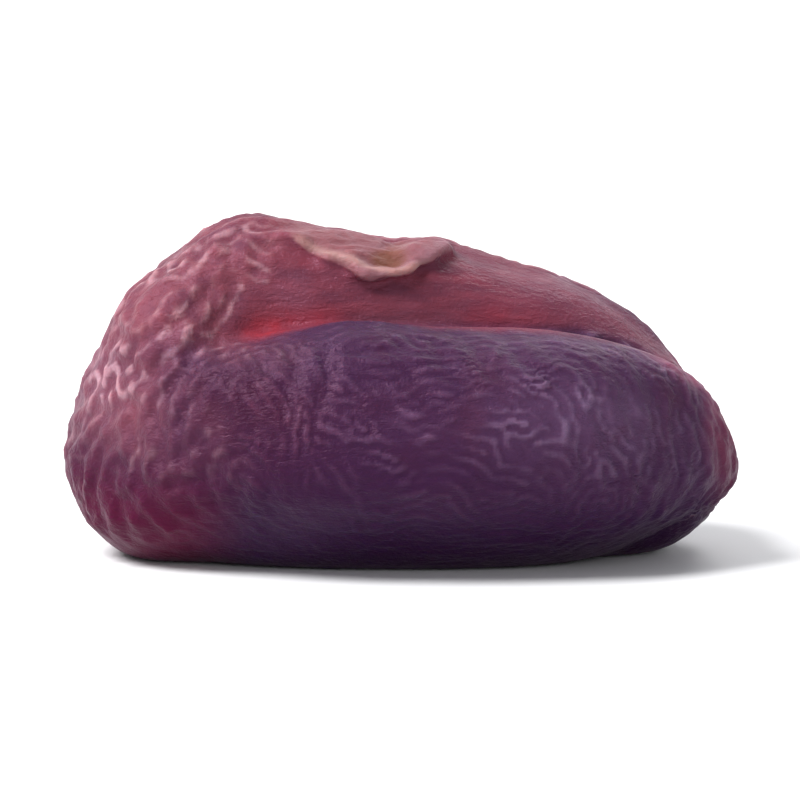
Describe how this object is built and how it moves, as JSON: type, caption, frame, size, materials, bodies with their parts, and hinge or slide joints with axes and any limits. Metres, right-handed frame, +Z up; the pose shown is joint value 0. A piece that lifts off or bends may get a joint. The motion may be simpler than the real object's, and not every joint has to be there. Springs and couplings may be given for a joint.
{
  "type": "dried apricot",
  "caption": "Whole unsulphured dried apricot, stoned: a plump wrinkled fruit lying on its side, its mouth open along the front.",
  "frame": {"origin": "middle of the fruit's footprint, at the level of the surface it rests on", "axes": "+X runs along the mouth to the tapered end, -Y is the side with the mouth, +Z is up"},
  "size_m": [0.0382, 0.024, 0.0194],
  "materials": {
    "dried_skin": "satin, wrinkled, slightly translucent"
  },
  "bodies": {
    "root": {"apricot": "dried_skin"}
  },
  "joints": []
}
